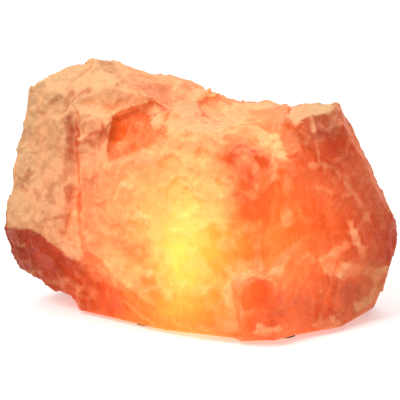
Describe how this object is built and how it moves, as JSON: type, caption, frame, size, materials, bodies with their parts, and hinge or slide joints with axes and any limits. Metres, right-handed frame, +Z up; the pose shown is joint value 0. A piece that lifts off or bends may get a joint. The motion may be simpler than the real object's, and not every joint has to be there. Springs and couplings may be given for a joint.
{
  "type": "salt crystal lamp",
  "caption": "Raw block of rock salt that glows from a small bulb in a hole bored from below; the lamp holder is held in the hole by spring-wire wings.",
  "frame": {"origin": "on the axis of the bored hole, at the level of the table that the pads stand on", "axes": "+Z up along the bored hole, +X along the crystal's length to the right, -Y towards the front"},
  "size_m": [0.2419, 0.1457, 0.1575],
  "materials": {
    "rock_salt": "rough broken rock salt, lit from inside",
    "pad_felt": "dark stick-on felt",
    "soft_gland": "matt black elastomer",
    "holder_plastic": "black moulded thermoset",
    "white_ceramic": "unglazed white ceramic",
    "brass": "stamped brass sheet",
    "zinc_steel": "zinc-plated steel",
    "spring_steel": "drawn spring wire",
    "solder": "dull solder",
    "black_glass": "fused black glass insulator",
    "nickel_cap": "nickel-plated sheet",
    "bulb_clear_glass": "clear blown glass",
    "tungsten": "glowing tungsten coil"
  },
  "bodies": {
    "crystal": {"salt_crystal": "rock_salt", "base_pads": "pad_felt"},
    "lamp_unit": {"cord_gland": "soft_gland", "holder_cap": "holder_plastic", "cord_grip_bar": "holder_plastic", "grip_screws": "zinc_steel", "holder_shell": "holder_plastic", "holder_insert": "white_ceramic", "screw_shell": "brass", "side_contact": "brass", "centre_contact": "brass", "terminal_screws": "zinc_steel"},
    "clip_left": {"clip_wing_left": "spring_steel"},
    "clip_right": {"clip_wing_right": "spring_steel"},
    "bulb_foot": {"bulb_tip_contact": "solder", "bulb_insulator": "black_glass"},
    "bulb": {"bulb_cap": "nickel_cap", "bulb_glass": "bulb_clear_glass", "bulb_stem": "bulb_clear_glass", "lead_wires": "nickel_cap", "support_wires": "tungsten", "filament": "tungsten"}
  },
  "joints": [
    {"name": "unit_slide", "type": "slide", "parent": "crystal", "child": "lamp_unit", "axis": [0, 0, -1], "range_m": [0, 0.1]},
    {"name": "bulb_rise", "type": "slide", "parent": "lamp_unit", "child": "bulb_foot", "axis": [0, 0, 1], "range_m": [0, 0.01129]},
    {"name": "bulb_turn", "type": "hinge", "parent": "bulb_foot", "child": "bulb", "pos_m": [0, 0, 0.05], "axis": [0, 0, 1], "range_deg": [0, 1440]},
    {"name": "clip_left_pinch", "type": "hinge", "parent": "lamp_unit", "child": "clip_left", "pos_m": [-0.0155, 0, 0.05], "axis": [0, -1, 0], "range_deg": [0, 8], "stiffness_Nm_per_rad": 0.05},
    {"name": "clip_right_pinch", "type": "hinge", "parent": "lamp_unit", "child": "clip_right", "pos_m": [0.0155, 0, 0.05], "axis": [0, 1, 0], "range_deg": [0, 8], "stiffness_Nm_per_rad": 0.05}
  ],
  "couplings": [
    {"joint": "bulb_rise", "follows": "bulb_turn", "m_per_rad": 0.0004491}
  ]
}
